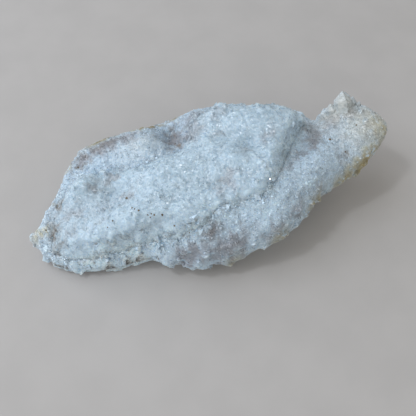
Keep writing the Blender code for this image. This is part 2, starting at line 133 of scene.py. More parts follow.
# Places of the same kind that aren't colours: smooth ground, the rim that has few loose crystals,
# and the forms of the solids that aren't melted.
SMOOTH_PATCHES = (
    (-30, -8.4, 4.5, 3, 0, 0.9), (-22, -14, 5, 2.6, 0, 0.8), (-23, -4, 5, 3, 20, 0.6),
    (-18, 17, 9, 5, 0, 0.9), (-30, 17, 6, 4, 0, 0.6), (-44, -9, 7, 3, -15, 0.5), (14, 8, 8, 3, 5, 0.6),
    (-21, -21, 2.6, 3, 0, 1.0), (-12, -25, 3, 3, 0, 1.0), (51, 8, 3, 3, 0, 0.8), (-4, 2, 5, 3, 30, 0.6),
    (12, -12, 3, 2, 0, 0.6),
)
RIM_PATCHES = ((-46, -11, 8, 4, -15, 1.0), (-32, -15, 9, 4, -8, 1.0))
KEPT_FORMS = (
    (51.5, 9.5, 3.5, 3.5, 0, 0.9), (-22, -21.5, 3.5, 4, 0, 1.0), (-13.5, -26, 3.5, 4, 0, 1.0),
    (11.1, 15, 2.5, 2.5, 0, 0.95), (20.7, 12.2, 2.5, 2.5, 0, 0.93), (25.9, 8.9, 2.5, 2.5, 0, 0.93),
)


def put(tree, kind, values=None, **settings):
    """Adds a node. A value is either a socket to link from or what the input is set to."""
    made = tree.nodes.new(kind)
    for key, value in settings.items():
        setattr(made, key, value)
    for key, value in (values or {}).items():
        if isinstance(value, bpy.types.NodeSocket):
            tree.links.new(value, made.inputs[key])
        else:
            made.inputs[key].default_value = value
    return made


def maths(tree, operation, a, b=0.0, c=0.0):
    return put(tree, "ShaderNodeMath", {0: a, 1: b, 2: c}, operation=operation).outputs[0]


def vector_maths(tree, operation, a, b=(0, 0, 0)):
    made = put(tree, "ShaderNodeVectorMath", {0: a}, operation=operation)
    if operation == "SCALE":
        socket = made.inputs["Scale"]
    else:
        socket = made.inputs[1]
    if isinstance(b, bpy.types.NodeSocket):
        tree.links.new(b, socket)
    else:
        socket.default_value = b
    return made.outputs["Value" if operation == "DOT_PRODUCT" else "Vector"]


def new_tree(name, inputs):
    """A geometry node tree with its group input and output, and named inputs after the geometry."""
    tree = bpy.data.node_groups.new(name, "GeometryNodeTree")
    tree.interface.new_socket("Geometry", in_out="INPUT", socket_type="NodeSocketGeometry")
    tree.interface.new_socket("Geometry", in_out="OUTPUT", socket_type="NodeSocketGeometry")
    for label, kind in inputs:
        tree.interface.new_socket(label, in_out="INPUT", socket_type="NodeSocket" + kind)
    return tree, put(tree, "NodeGroupInput").outputs


def run_tree(body, tree, values):
    """Works a geometry node tree into a mesh. Its inputs are set by their identifiers."""
    step = body.modifiers.new(tree.name, "NODES")
    step.node_group = tree
    for item in tree.interface.items_tree:
        if item.item_type == "SOCKET" and item.in_out == "INPUT" and item.name in values:
            step[item.identifier] = values[item.name]
    return worked_out(body)


def worked_out(body):
    """The mesh that a body's modifiers make. The modifiers are taken off."""
    graph = bpy.context.evaluated_depsgraph_get()
    made = bpy.data.meshes.new_from_object(body.evaluated_get(graph), depsgraph=graph)
    body.modifiers.clear()
    return made


def merged(name, meshes):
    """One mesh of several, with the corners that share a place made one."""
    bm = bmesh.new()
    for mesh in meshes:
        bm.from_mesh(mesh)
    bmesh.ops.remove_doubles(bm, verts=bm.verts, dist=0.001 * MM)
    made = bpy.data.meshes.new(name)
    bm.to_mesh(made)
    bm.free()
    return made


def new_body(name, data):
    """A new object in the scene, which stands at the origin."""
    body = bpy.data.objects.new(name, data)
    bpy.context.scene.collection.objects.link(body)
    return body


def lay_skin(body, grain, smoothing):
    """Lays one fine even skin over all that a body holds, a little melted, and never below its flat."""
    skin = body.modifiers.new("skin", "REMESH")
    skin.mode = "VOXEL"
    skin.voxel_size = grain
    melt = body.modifiers.new("melt", "SMOOTH")
    melt.factor = 0.5
    melt.iterations = smoothing
    body.data = worked_out(body)
    places, _ = places_and_normals(body.data)
    move_to(body.data, np.maximum(places, (-np.inf, -np.inf, 0.0)))


def places_and_normals(mesh):
    """A mesh's vertices, in millimetres, and their normals."""
    places = np.empty(len(mesh.vertices) * 3, np.float32)
    normals = np.empty(len(mesh.vertices) * 3, np.float32)
    mesh.vertices.foreach_get("co", places)
    mesh.vertex_normals.foreach_get("vector", normals)
    return places.reshape(-1, 3) / MM, normals.reshape(-1, 3)


def move_to(mesh, places):
    """Moves a mesh's vertices to places in millimetres."""
    mesh.vertices.foreach_set("co", (places * MM).astype(np.float32).ravel())
    mesh.update()


def patches(places, table, wave=WAVE):
    """How far each place lies in the strongest of some soft, wavy patches, from 0 to 1."""
    most = np.zeros(len(places))
    east = places[:, 0] + wave * np.sin(1.3 * places[:, 1] + 0.4 * places[:, 0])
    north = places[:, 1] + wave * np.sin(1.5 * places[:, 0] + 0.3 * places[:, 1])
    east += wave / 2 * np.sin(3.1 * places[:, 1] + 1.0)
    north += wave / 2 * np.sin(3.3 * places[:, 0] + 2.0)
    for x, y, half_length, half_width, turn, strength in table:
        c, s = math.cos(math.radians(turn)), math.sin(math.radians(turn))
        along = ((east - x) * c + (north - y) * s) / half_length
        across = ((north - y) * c - (east - x) * s) / half_width
        most = np.maximum(most, strength * np.exp(-along**2 - across**2))
    return most


def ramp(values, low, high):
    """A soft step from 0 at low to 1 at high."""
    share = np.clip((values - low) / (high - low), 0, 1)
    return share * share * (3 - 2 * share)


def store(mesh, name, values):
    """Writes a value for each vertex, in place of those that it had under that name."""
    if name in mesh.attributes:
        mesh.attributes.remove(mesh.attributes[name])
    mesh.attributes.new(name, "FLOAT", "POINT").data.foreach_set("value", values.astype(np.float32))


def store_patches(mesh):
    """Writes on a body where it is clear, where painted shade and painted light lie, where it is stained,
    smooth and broken, and its plain tone.
    """
    places, normals = places_and_normals(mesh)
    upper = ramp(normals[:, 2], *UPPER_GROUND)
    # Clear grey, and painted shade in the dark hollow and on the front.
    store(mesh, "clear", patches(places, CLEAR_AND_SHADE_PATCHES) * upper)
    store(mesh, "buff", patches(places, BUFF_PATCHES))
    store(mesh, "cream", patches(places, CREAM_PATCHES))
    # Clay stains, and painted shade in the dark hollow and on the front.
    store(mesh, "clay_and_shade", patches(places, CLAY_AND_SHADE_PATCHES) * upper)
    store(mesh, "smooth", patches(places, SMOOTH_PATCHES))
    # Painted light: pale white on slopes that face away from the light.
    painted_light = patches(places, PAINTED_LIGHT_PATCHES)
    store(mesh, "painted_light", painted_light)
    store(mesh, "broken", 1 - upper)
    # The break's ochre is left off where the painted light lies.
    under = (1 - ramp(normals[:, 2], *UNDER_GROUND)) * (1 - painted_light)
    store(mesh, "iron", np.maximum(LEAST_IRON * under, patches(places, IRON_PATCHES, IRON_WAVE)))
    store(mesh, "tone", np.full(len(places), 0.5))


def add_facets(tree, place, size, seed):
    """Height of a ground of small flat faces: each cell of a pattern is tilted its own way."""
    shifted = vector_maths(tree, "ADD", place, (seed, seed, seed))
    scaled = put(tree, "ShaderNodeVectorMath", {0: shifted, 1: size}, operation="DIVIDE").outputs["Vector"]
    pattern = put(tree, "ShaderNodeTexVoronoi", {"Vector": scaled, "Scale": 1.0})
    inside = vector_maths(tree, "SUBTRACT", scaled, pattern.outputs["Position"])
    lean = vector_maths(tree, "SUBTRACT", pattern.outputs["Color"], (0.5, 0.5, 0.5))
    return maths(tree, "MULTIPLY", vector_maths(tree, "DOT_PRODUCT", inside, lean), FACET_STEEPNESS)


# The solids stand for thousands of crystals with about two hundred. These are melted off the upper
# side, to make room for finer ones, but for the few that are kept. The broken edges stay as they are.
melting, given = new_tree("melting", [("Rounds", "Int"), ("Swell", "Float")])
facing = put(melting, "GeometryNodeBlurAttribute", {
    "Value": put(melting, "GeometryNodeInputNormal").outputs[0], "Iterations": FACING_ROUNDS},
    data_type="FLOAT_VECTOR").outputs[0]
upness = put(melting, "ShaderNodeSeparateXYZ", {0: facing}).outputs[2]
upness = put(melting, "ShaderNodeMapRange", {
    "Value": upness, "From Min": MELTED_GROUND[0], "From Max": MELTED_GROUND[1]}).outputs[0]
kept = put(melting, "GeometryNodeInputNamedAttribute", {"Name": "kept"}, data_type="FLOAT").outputs[0]
give = maths(melting, "MULTIPLY", upness, maths(melting, "SUBTRACT", 1.0, kept))
soft = put(melting, "GeometryNodeBlurAttribute", {
    "Value": put(melting, "GeometryNodeInputPosition").outputs[0], "Iterations": given["Rounds"],
    "Weight": give}, data_type="FLOAT_VECTOR").outputs[0]
swelling = vector_maths(melting, "SCALE", facing, maths(melting, "MULTIPLY", give, given["Swell"]))
melted = put(melting, "GeometryNodeSetPosition", {
    "Geometry": given["Geometry"], "Position": soft, "Offset": swelling})
put(melting, "NodeGroupOutput", {0: melted.outputs[0]})


def copy_of_solid(node, name, grain, smoothing):
    """A body with the form of a solid, under a skin of its own, with its crystals melted off."""
    body = new_body(name, merged(name, [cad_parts[node].data]))
    lay_skin(body, grain, smoothing)
    places, _ = places_and_normals(body.data)
    store(body.data, "kept", patches(places, KEPT_FORMS))
    body.data = run_tree(body, melting, {"Rounds": MELTING_ROUNDS, "Swell": SWELL})
    return body


# The stone's ground between its crystals: lumps, tilted facets and sugar above, ledges on the break.
ground, given = new_tree("stone_ground", [
    ("Lump size", "Vector"), ("Lump height", "Float"), ("Facet size", "Vector"), ("Facet height", "Float"),
    ("Sugar size", "Vector"), ("Sugar height", "Float"), ("Ledge size", "Vector"), ("Ledge height", "Float"),
])
at_mm = vector_maths(ground, "SCALE", put(ground, "GeometryNodeInputPosition").outputs[0], 1 / MM)
lump_place = put(ground, "ShaderNodeVectorMath", {0: at_mm, 1: given["Lump size"]}, operation="DIVIDE")
lump_noise = put(ground, "ShaderNodeTexNoise", {"Vector": lump_place.outputs[0], "Scale": 1.0, "Detail": 1.0})
lumps = maths(ground, "MULTIPLY", maths(ground, "SUBTRACT", lump_noise.outputs[0], 0.5), 2.0)
lumps = maths(ground, "MULTIPLY", lumps, given["Lump height"])
facets = add_facets(ground, at_mm, given["Facet size"], 3.7)
facets = maths(ground, "MULTIPLY", facets, given["Facet height"])
sugar = add_facets(ground, at_mm, given["Sugar size"], 11.3)
sugar = maths(ground, "MULTIPLY", sugar, given["Sugar height"])
ledges = add_facets(ground, at_mm, given["Ledge size"], 23.9)
ledges = maths(ground, "MULTIPLY", ledges, given["Ledge height"])
broken = put(ground, "GeometryNodeInputNamedAttribute", {"Name": "broken"}, data_type="FLOAT").outputs[0]
smooth = put(ground, "GeometryNodeInputNamedAttribute", {"Name": "smooth"}, data_type="FLOAT").outputs[0]
crystalline = maths(ground, "MULTIPLY", maths(ground, "ADD", facets, sugar),
                    maths(ground, "SUBTRACT", 1.0, maths(ground, "MULTIPLY", smooth, FACETS_LOST)))
upper_height = maths(ground, "MULTIPLY", crystalline, maths(ground, "SUBTRACT", 1.0, broken))
height = maths(ground, "ADD", upper_height, maths(ground, "MULTIPLY", ledges, broken))
height = maths(ground, "MULTIPLY", maths(ground, "ADD", height, lumps), MM)
push = vector_maths(ground, "SCALE", put(ground, "GeometryNodeInputNormal").outputs[0], height)
moved = put(ground, "GeometryNodeSetPosition", {"Geometry": given["Geometry"], "Offset": push})
put(ground, "NodeGroupOutput", {0: moved.outputs[0]})


def covered_by(places, cover):
    """1 for each place that has the cover straight over it."""
    tree = BVHTree.FromObject(cover, bpy.context.evaluated_depsgraph_get())
    up = Vector((0, 0, 1))
    return np.array([tree.ray_cast(Vector(place) * MM, up)[0] is not None for place in places], float)


def store_growth(body, low, held_back, cover=None, thin=SMOOTH_PATCHES):
    """Writes where crystals may grow: on upward ground, fewer in thin patches, none under a cover."""
    places, normals = places_and_normals(body.data)
    growth = ramp(normals[:, 2], low, low + GROWTH_BLEND) * (1 - held_back * patches(places, thin))
    if cover:
        growth *= 1 - covered_by(places, cover)
    store(body.data, "growth", growth)


def even(size):
    return (size, size, size)


def lay_ground(body, flat_below, **heights):
    """Roughens a body, and lays what is lower than flat_below on the flat that it rests on."""
    rough = run_tree(body, ground, heights)
    for vertex in rough.vertices:
        if vertex.co.z < flat_below:
            vertex.co.z = 0.0
    body.data = rough


def crystal_shape(name, bm):
    """A crystal of half width 1 for a tree to copy. It is taken away once all have grown."""
    mesh = bpy.data.meshes.new(name)
    bm.to_mesh(mesh)
    bm.free()
    return new_body(name, mesh)


def six_sided_point():
    """Only the pyramid of a quartz crystal shows, so it is copied as two pyramids, base to base."""
    bm = bmesh.new()
    bmesh.ops.create_circle(bm, cap_ends=True, segments=6, radius=1.0)
    top = bm.faces[:][0]
    under = bmesh.ops.duplicate(bm, geom=[top])["geom"]
    bottom = [part for part in under if isinstance(part, bmesh.types.BMFace)][0]
    bottom.normal_flip()
    for face in (top, bottom):
        face.normal_update()
        bmesh.ops.poke(bm, faces=[face], offset=POINT_STEEPNESS)
    bmesh.ops.remove_doubles(bm, verts=bm.verts, dist=0.001)
    bmesh.ops.translate(bm, verts=bm.verts, vec=(0, 0, -POINT_SUNK))
    bmesh.ops.recalc_face_normals(bm, faces=bm.faces)
    return crystal_shape("six_sided_point", bm)


# Crystals on a body: spread where its growth attribute lets them, stood on it, leant, turned and sized.
growing, given = new_tree("crystals", [
    ("Crystal", "Object"), ("Spacing", "Float"), ("Least size", "Float"), ("Greatest size", "Float"),
    ("Lean", "Float"), ("Seed", "Int"), ("Finish", "Material"),
])
growth = put(growing, "GeometryNodeInputNamedAttribute", {"Name": "growth"}, data_type="FLOAT").outputs[0]
spots = put(growing, "GeometryNodeDistributePointsOnFaces", {
    "Mesh": given["Geometry"], "Distance Min": given["Spacing"], "Density Max": DENSEST,
    "Density Factor": growth, "Seed": given["Seed"]}, distribute_method="POISSON")
backward = maths(growing, "MULTIPLY", given["Lean"], -1.0)
least_turn = put(growing, "ShaderNodeCombineXYZ", {0: backward, 1: backward, 2: 0.0}).outputs[0]
most_turn = put(growing, "ShaderNodeCombineXYZ", {
    0: given["Lean"], 1: given["Lean"], 2: math.tau}).outputs[0]
turns = put(growing, "FunctionNodeRandomValue", {
    0: least_turn, 1: most_turn,
    "Seed": maths(growing, "ADD", given["Seed"], 1.0)}, data_type="FLOAT_VECTOR").outputs[0]
turned = put(growing, "FunctionNodeRotateRotation", {
    0: spots.outputs["Rotation"],
    1: put(growing, "FunctionNodeEulerToRotation", {0: turns}).outputs[0]}, rotation_space="LOCAL")
luck = put(growing, "FunctionNodeRandomValue", {"Seed": maths(growing, "ADD", given["Seed"], 2.0)},
           data_type="FLOAT").outputs[1]
spread = maths(growing, "SUBTRACT", given["Greatest size"], given["Least size"])
size = maths(growing, "MULTIPLY_ADD", maths(growing, "POWER", luck, SMALL_SHARE), spread,
             given["Least size"])
uneven = put(growing, "FunctionNodeRandomValue", {
    0: CRYSTAL_STRETCH[0], 1: CRYSTAL_STRETCH[1],
    "Seed": maths(growing, "ADD", given["Seed"], 3.0)}, data_type="FLOAT_VECTOR").outputs[0]
scale = vector_maths(growing, "SCALE", uneven, size)
shape = put(growing, "GeometryNodeObjectInfo", {"Object": given["Crystal"]}).outputs["Geometry"]
stood = put(growing, "GeometryNodeInstanceOnPoints", {
    "Points": spots.outputs["Points"], "Instance": shape, "Rotation": turned.outputs[0], "Scale": scale})
tone = put(growing, "FunctionNodeRandomValue", {"Seed": maths(growing, "ADD", given["Seed"], 4.0)},
           data_type="FLOAT").outputs[1]
toned = put(growing, "GeometryNodeStoreNamedAttribute", {
    "Geometry": stood.outputs[0], "Name": "tone", "Value": tone}, data_type="FLOAT", domain="INSTANCE")
real = put(growing, "GeometryNodeRealizeInstances", {0: toned.outputs[0]})
finished = put(growing, "GeometryNodeSetMaterial", {
    "Geometry": real.outputs[0], "Material": given["Finish"]})
put(growing, "NodeGroupOutput", {0: finished.outputs[0]})


def crystals_on(body, name, shape, **values):
    """A body of its own that holds all the crystals of one kind on another body."""
    host = new_body(name, body.data.copy())
    host.data = run_tree(host, growing, {"Crystal": shape, **values})
    return host


def take_in(body, crystals, grain, smoothing):
    """Melts a body and the crystals on it into one skin, and takes the loose crystals away."""
    body.data = merged(body.name, [body.data, crystals.data])
    bpy.data.objects.remove(crystals)
    lay_skin(body, grain, smoothing)


point_shape = six_sided_point()
quartz_body = copy_of_solid("quartz_plate", "quartz_body", PLATE_GRAIN, PLATE_SMOOTHING[0])
store_patches(quartz_body.data)
lay_ground(quartz_body, SEAT_HEIGHT, **{
    "Lump size": even(LUMP_SIZE), "Lump height": LUMP_HEIGHT,
    "Facet size": even(FACET_SIZE), "Facet height": FACET_HEIGHT,
    "Sugar size": even(SUGAR_SIZE), "Sugar height": SUGAR_HEIGHT,
    "Ledge size": [LEDGE_SIZE * stretch for stretch in LEDGE_STRETCH], "Ledge height": LEDGE_HEIGHT,
})
store_growth(quartz_body, QUARTZ_GROWS_FROM, STOUT_HELD_BACK)
take_in(quartz_body, crystals_on(quartz_body, "stout_points", point_shape, **{
    "Spacing": STOUT_SPACING, "Least size": STOUT_SIZE[0], "Greatest size": STOUT_SIZE[1],
    "Lean": STOUT_LEAN, "Seed": 3}), PLATE_GRAIN, PLATE_SMOOTHING[1])
store_patches(quartz_body.data)


# ---- the calcite crust --------------------------------------------------------------------------
# A lumpy crust of milky, bluish-white calcite, grown on the quartz and locked to it where it thins
# out. Its surface is a mass of small blocky crystals, smooth and frosted in a few places.

CRUST_GRAIN = 0.33 * MM
CRUST_SMOOTHING = (4, 1)     # before and after it takes in its larger crystals
CRUST_FACET_SIZE, CRUST_FACET_HEIGHT = 4.2, 0.2
CRUST_SUGAR_SIZE, CRUST_SUGAR_HEIGHT = 1.7, 0.05
CRUST_LEDGE_HEIGHT = 0.2
RHOMB_SPACING, RHOMB_SIZE, RHOMB_LEAN = 1.7 * MM, (0.4 * MM, 1.5 * MM), 0.35
RHOMB_EDGE, RHOMB_STRETCH = 1.7, 0.65         # of a rhomb of half width 1, stood on its corner
RHOMB_SUNK = 0.88            # how far its middle is under the surface, over its half width
CRUST_GROWS_FROM, CRUST_HELD_BACK = -0.1, 0.85    # as for the quartz
CRUST_ROOT = 2.5             # how much deeper it is rooted than its solid, under the quartz's skin
ROOT_GROUND = (-0.5, 0.0)    # how far up it faces where the root starts to thin out, and ends
BANK, BANK_SUNK = 5.0, 0.3   # how far out the quartz is drawn up to the crust, and how far under
TOP_FACING, GROUND_FACING = 0.25, 0.1         # how far up the crust's top and the quartz's ground face
ABOVE_ALL = 100              # the height that a place is looked for from


def rhomb_shape():
    """A calcite crystal: a cube, squashed from corner to corner and half sunk."""
    bm = bmesh.new()
    corner_up = Vector((1, 1, 1)).rotation_difference(Vector((0, 0, 1))).to_matrix().to_4x4()
    low = Matrix.Translation((0, 0, -RHOMB_SUNK)) @ Matrix.Diagonal((1, 1, RHOMB_STRETCH, 1))
    bmesh.ops.create_cube(bm, size=RHOMB_EDGE, matrix=low @ corner_up)
    return crystal_shape("rhomb_shape", bm)


def let_down(body, depth):
    """Sinks a body's underside, so that its thin edges are rooted in what it has grown on."""
    places, normals = places_and_normals(body.data)
    places[:, 2] -= depth * (1 - ramp(normals[:, 2], *ROOT_GROUND))
    move_to(body.data, places)


def bank_up(body, cover, reach, sunk):
    """Draws the ground up to a cover: just under it inside its edge, and sloping away outside."""
    places, normals = places_and_normals(body.data)
    seen, facing = places_and_normals(cover.data)
    over_it = BVHTree.FromObject(cover, bpy.context.evaluated_depsgraph_get())
    tops = seen[facing[:, 2] > TOP_FACING]
    edge = KDTree(len(tops))
    for number, place in enumerate(tops):
        edge.insert(place, number)
    edge.balance()
    for number in np.nonzero(normals[:, 2] > GROUND_FACING)[0]:
        x, y, z = places[number]
        top = over_it.ray_cast(Vector((x, y, ABOVE_ALL)) * MM, Vector((0, 0, -1)))[0]
        if top:
            places[number, 2] = max(z, top.z / MM - sunk)
            continue
        near = edge.find((x, y, z))[0]
        away = math.hypot(near.x - x, near.y - y)
        if away < reach and near.z > z:
            places[number, 2] += (near.z - z) * (1 - away / reach) ** 2
    move_to(body.data, places)


rhomb = rhomb_shape()
calcite_body = copy_of_solid("calcite_crust", "calcite_body", CRUST_GRAIN, CRUST_SMOOTHING[0])
let_down(calcite_body, CRUST_ROOT)
store_patches(calcite_body.data)
lay_ground(calcite_body, 0.0, **{
    "Lump size": even(LUMP_SIZE), "Lump height": LUMP_HEIGHT,
    "Facet size": even(CRUST_FACET_SIZE), "Facet height": CRUST_FACET_HEIGHT,
    "Sugar size": even(CRUST_SUGAR_SIZE), "Sugar height": CRUST_SUGAR_HEIGHT,
    "Ledge size": even(LEDGE_SIZE), "Ledge height": CRUST_LEDGE_HEIGHT,
})
store_growth(calcite_body, CRUST_GROWS_FROM, CRUST_HELD_BACK)
take_in(calcite_body, crystals_on(calcite_body, "rhombs", rhomb, **{
    "Spacing": RHOMB_SPACING, "Least size": RHOMB_SIZE[0], "Greatest size": RHOMB_SIZE[1],
    "Lean": RHOMB_LEAN, "Seed": 21}), CRUST_GRAIN, CRUST_SMOOTHING[1])
store_patches(calcite_body.data)
bank_up(quartz_body, calcite_body, BANK, BANK_SUNK)


# ---- the colours of the vein --------------------------------------------------------------------
# Both minerals take the same stains: buff over the high tip, cream and brown clay in the low places, and a
# rind of ochre iron on the break. Clay and clear grey also lay painted shade in the dark hollow and on the
# front, and a pale white is painted light on slopes that face away from the light. Crystals differ a little
# from one to the next. Patterns are given to the metre.

# Painted light: the pale white that lifts slopes facing away from the light.
PAINTED_LIGHT_WHITE = (0.61, 0.79, 0.955, 1)
BUFF = (0.60, 0.62, 0.585, 1)
CREAM = (0.60, 0.56, 0.36, 1)
CLAY = (0.17, 0.135, 0.10, 1)
OCHRE = (0.29, 0.23, 0.085, 1)
STAINS = (                   # attribute, colour, strength, and the mottle that it starts and is full at
    ("buff", BUFF, 0.85, (0.1, 0.5)), ("cream", CREAM, 1.0, (0.3, 0.6)),
    ("clay_and_shade", CLAY, 0.85, (0.28, 0.58)), ("iron", OCHRE, 0.9, (0.32, 0.5)),
)
PAINTED_LIGHT_STRENGTH = 0.9
MOTTLE_PATTERN = 420.0       # about 2.4 mm each
CLOUD_PATTERN = 110.0        # about 9 mm each
CELL_PATTERN = 340.0         # crystals of unlike clarity in the mass, about 3 mm each
WARP_PATTERN, WARP = 500.0, 1.2 * MM          # which makes those crystals' outlines uneven
CLOUD_LEVEL, MOTTLE_SHARE = 0.98, 0.9         # clearness is patch + cloud - level + share * mottle
PLAIN_SHADE, CELL_SHADE = 0.97, 0.06          # brightness, and how much more the clearest cell has
LIGHT_REACH = 2.6 * MM       # how far light goes under the skin of the milky stone
SPARKLE_SIZE, SPARKLE_HEIGHT = 0.6, 0.12
DULLNESS = 0.9               # roughness where clay or iron covers the mineral
QUARTZ_IOR = 1.544
CALCITE_IOR = 1.6            # between its two values

stains = bpy.data.node_groups.new("vein_stains", "ShaderNodeTree")
for label in ("Milky colour", "Clear and shade colour"):
    stains.interface.new_socket(label, in_out="INPUT", socket_type="NodeSocketColor")
stains.interface.new_socket("Contrast", in_out="INPUT", socket_type="NodeSocketFloat")
stains.interface.new_socket("Colour", in_out="OUTPUT", socket_type="NodeSocketColor")
stains.interface.new_socket("Dullness", in_out="OUTPUT", socket_type="NodeSocketFloat")
given = put(stains, "NodeGroupInput").outputs


def carried(tree, name):
    """The value that the mesh carries under a name."""
    return put(tree, "ShaderNodeAttribute", attribute_name=name).outputs["Fac"]


def over(tree, share, under, paint):
    """A colour with a share of another laid over it. Each is a socket or a value."""
    mix = put(tree, "ShaderNodeMix", {"Factor": share}, data_type="RGBA")
    for socket, value in ((mix.inputs[6], under), (mix.inputs[7], paint)):
        if isinstance(value, bpy.types.NodeSocket):
            tree.links.new(value, socket)
        else:
            socket.default_value = value
    return mix.outputs[2]


def mask(tree, value, low, high):
    """A soft step from 0 at low to 1 at high."""
    return put(tree, "ShaderNodeMapRange", {"Value": value, "From Min": low, "From Max": high},
               interpolation_type="SMOOTHSTEP").outputs[0]


spot = put(stains, "ShaderNodeTexCoord").outputs["Object"]
mottle = put(stains, "ShaderNodeTexNoise", {
    "Vector": spot, "Scale": MOTTLE_PATTERN, "Detail": 4.0, "Roughness": 0.65}).outputs[0]
cloud = put(stains, "ShaderNodeTexNoise", {
    "Vector": spot, "Scale": CLOUD_PATTERN, "Detail": 3.0}).outputs[0]
# Clear grey, which holds painted shade from its patches, then pale white painted light, then the stains,
# where clay also carries painted shade.
clearness_and_shade = maths(stains, "ADD", carried(stains, "clear"), maths(stains, "SUBTRACT", cloud, CLOUD_LEVEL))
clearness_and_shade = maths(stains, "MULTIPLY_ADD", mottle, MOTTLE_SHARE, clearness_and_shade)
colour = over(stains, mask(stains, clearness_and_shade, 0.0, 0.9), given["Milky colour"], given["Clear and shade colour"])
colour = over(stains, maths(stains, "MULTIPLY", carried(stains, "painted_light"), PAINTED_LIGHT_STRENGTH), colour, PAINTED_LIGHT_WHITE)
shares = {}
for name, paint, strength, (low, high) in STAINS:
    shares[name] = maths(stains, "MULTIPLY", carried(stains, name), mask(stains, mottle, low, high))
    colour = over(stains, maths(stains, "MULTIPLY", shares[name], strength), colour, paint)
warp = vector_maths(stains, "SCALE", put(stains, "ShaderNodeTexNoise", {
    "Vector": spot, "Scale": WARP_PATTERN}).outputs["Color"], WARP)
cells = put(stains, "ShaderNodeTexVoronoi", {
    "Vector": vector_maths(stains, "ADD", spot, warp), "Scale": CELL_PATTERN}).outputs["Color"]
clarity = put(stains, "ShaderNodeSeparateColor", {0: cells}).outputs[0]
off_middle = maths(stains, "SUBTRACT", carried(stains, "tone"), 0.5)
shade = maths(stains, "MULTIPLY_ADD", off_middle, given["Contrast"], PLAIN_SHADE)
shade = maths(stains, "MULTIPLY_ADD", clarity, CELL_SHADE, shade)
put(stains, "NodeGroupOutput", {
    "Colour": vector_maths(stains, "SCALE", colour, shade),
    "Dullness": maths(stains, "MAXIMUM", shares["iron"], shares["clay_and_shade"])})


def mineral(name, milky_colour, clear_and_shade_colour, contrast, gloss, milkiness, transmission, ior):
    """A material of stained stone or crystal. Gloss is the range of roughness between its crystals."""
    made = bpy.data.materials.new(name)
    made.use_nodes = True
    tree = made.node_tree
    shader = tree.nodes["Principled BSDF"]
    tinted = put(tree, "ShaderNodeGroup", node_tree=stains)
    tinted.inputs["Milky colour"].default_value = milky_colour
    tinted.inputs["Clear and shade colour"].default_value = clear_and_shade_colour
    tinted.inputs["Contrast"].default_value = contrast
    tree.links.new(tinted.outputs["Colour"], shader.inputs["Base Color"])
    rough = maths(tree, "MULTIPLY_ADD", carried(tree, "tone"), gloss[1] - gloss[0], gloss[0])
    rough = maths(tree, "MAXIMUM", rough, maths(tree, "MULTIPLY", tinted.outputs["Dullness"], DULLNESS))
    tree.links.new(rough, shader.inputs["Roughness"])
    place = vector_maths(tree, "SCALE", put(tree, "ShaderNodeTexCoord").outputs["Object"], 1 / MM)
    sparkle = add_facets(tree, place, even(SPARKLE_SIZE), 7.1)
    bump = put(tree, "ShaderNodeBump", {"Height": sparkle, "Strength": 1.0, "Distance": SPARKLE_HEIGHT * MM})
    tree.links.new(bump.outputs[0], shader.inputs["Normal"])
    shader.inputs["Transmission Weight"].default_value = transmission
    shader.inputs["IOR"].default_value = ior
    shader.inputs["Subsurface Weight"].default_value = milkiness
    shader.inputs["Subsurface Radius"].default_value = (1.0, 1.0, 1.0)
    shader.inputs["Subsurface Scale"].default_value = LIGHT_REACH
    return made


quartz_stone = mineral(
    "quartz_stone", milky_colour=(0.51, 0.66, 0.80, 1), clear_and_shade_colour=(0.315, 0.36, 0.43, 1),
    contrast=0.3, gloss=(0.2, 0.4), milkiness=1.0, transmission=0.0, ior=QUARTZ_IOR)
calcite_stone = mineral(
    "calcite_stone", milky_colour=(0.475, 0.62, 0.74, 1), clear_and_shade_colour=(0.36, 0.43, 0.50, 1),
    contrast=0.3, gloss=(0.15, 0.35), milkiness=1.0, transmission=0.0, ior=CALCITE_IOR)
quartz_crystal = mineral(
    "quartz_crystal", milky_colour=(0.56, 0.71, 0.85, 1), clear_and_shade_colour=(0.38, 0.43, 0.50, 1),
    contrast=0.6, gloss=(0.05, 0.3), milkiness=0.0, transmission=0.08, ior=QUARTZ_IOR)
calcite_crystal = mineral(
    "calcite_crystal", milky_colour=(0.525, 0.68, 0.80, 1), clear_and_shade_colour=(0.42, 0.49, 0.56, 1),
    contrast=0.28, gloss=(0.03, 0.25), milkiness=0.0, transmission=0.08, ior=CALCITE_IOR)

quartz_body.data.materials.clear()
quartz_body.data.materials.append(quartz_stone)
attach(quartz_body, "root")
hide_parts("quartz_plate")
calcite_body.data.materials.clear()
calcite_body.data.materials.append(calcite_stone)
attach(calcite_body, "root")
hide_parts("calcite_crust")


# ---- the quartz druse ---------------------------------------------------------------------------
# Thousands of small six-sided points stand on the quartz wherever the calcite leaves it bare, grown
# straight out of it, leaning a little, each ending in a pyramid.

DRUSE_SPACING, DRUSE_SIZE, DRUSE_LEAN = 0.62 * MM, (0.28 * MM, 0.7 * MM), 0.5
DRUSE_HELD_BACK = 0.95       # the share that smooth ground and the front rim lack


def grow(name, body, shape, spacing, sizes, lean, seed, finish):
    """One piece of all the loose crystals of a kind on a body."""
    host = crystals_on(body, name, shape, **{
        "Spacing": spacing, "Least size": sizes[0], "Greatest size": sizes[1], "Lean": lean, "Seed": seed,
        "Finish": finish})
    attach(host, "root")


store_growth(quartz_body, QUARTZ_GROWS_FROM, DRUSE_HELD_BACK, cover=calcite_body,
             thin=SMOOTH_PATCHES + RIM_PATCHES)
grow("quartz_druse", quartz_body, point_shape, DRUSE_SPACING, DRUSE_SIZE, DRUSE_LEAN, seed=5,
     finish=quartz_crystal)


# ---- the tall quartz points ---------------------------------------------------------------------
# A few quartz crystals are tall enough to stand out: the peak of the high tip and those about it,
# and some on the front rim and in the gully. Each is a six-sided prism that ends in a pyramid.

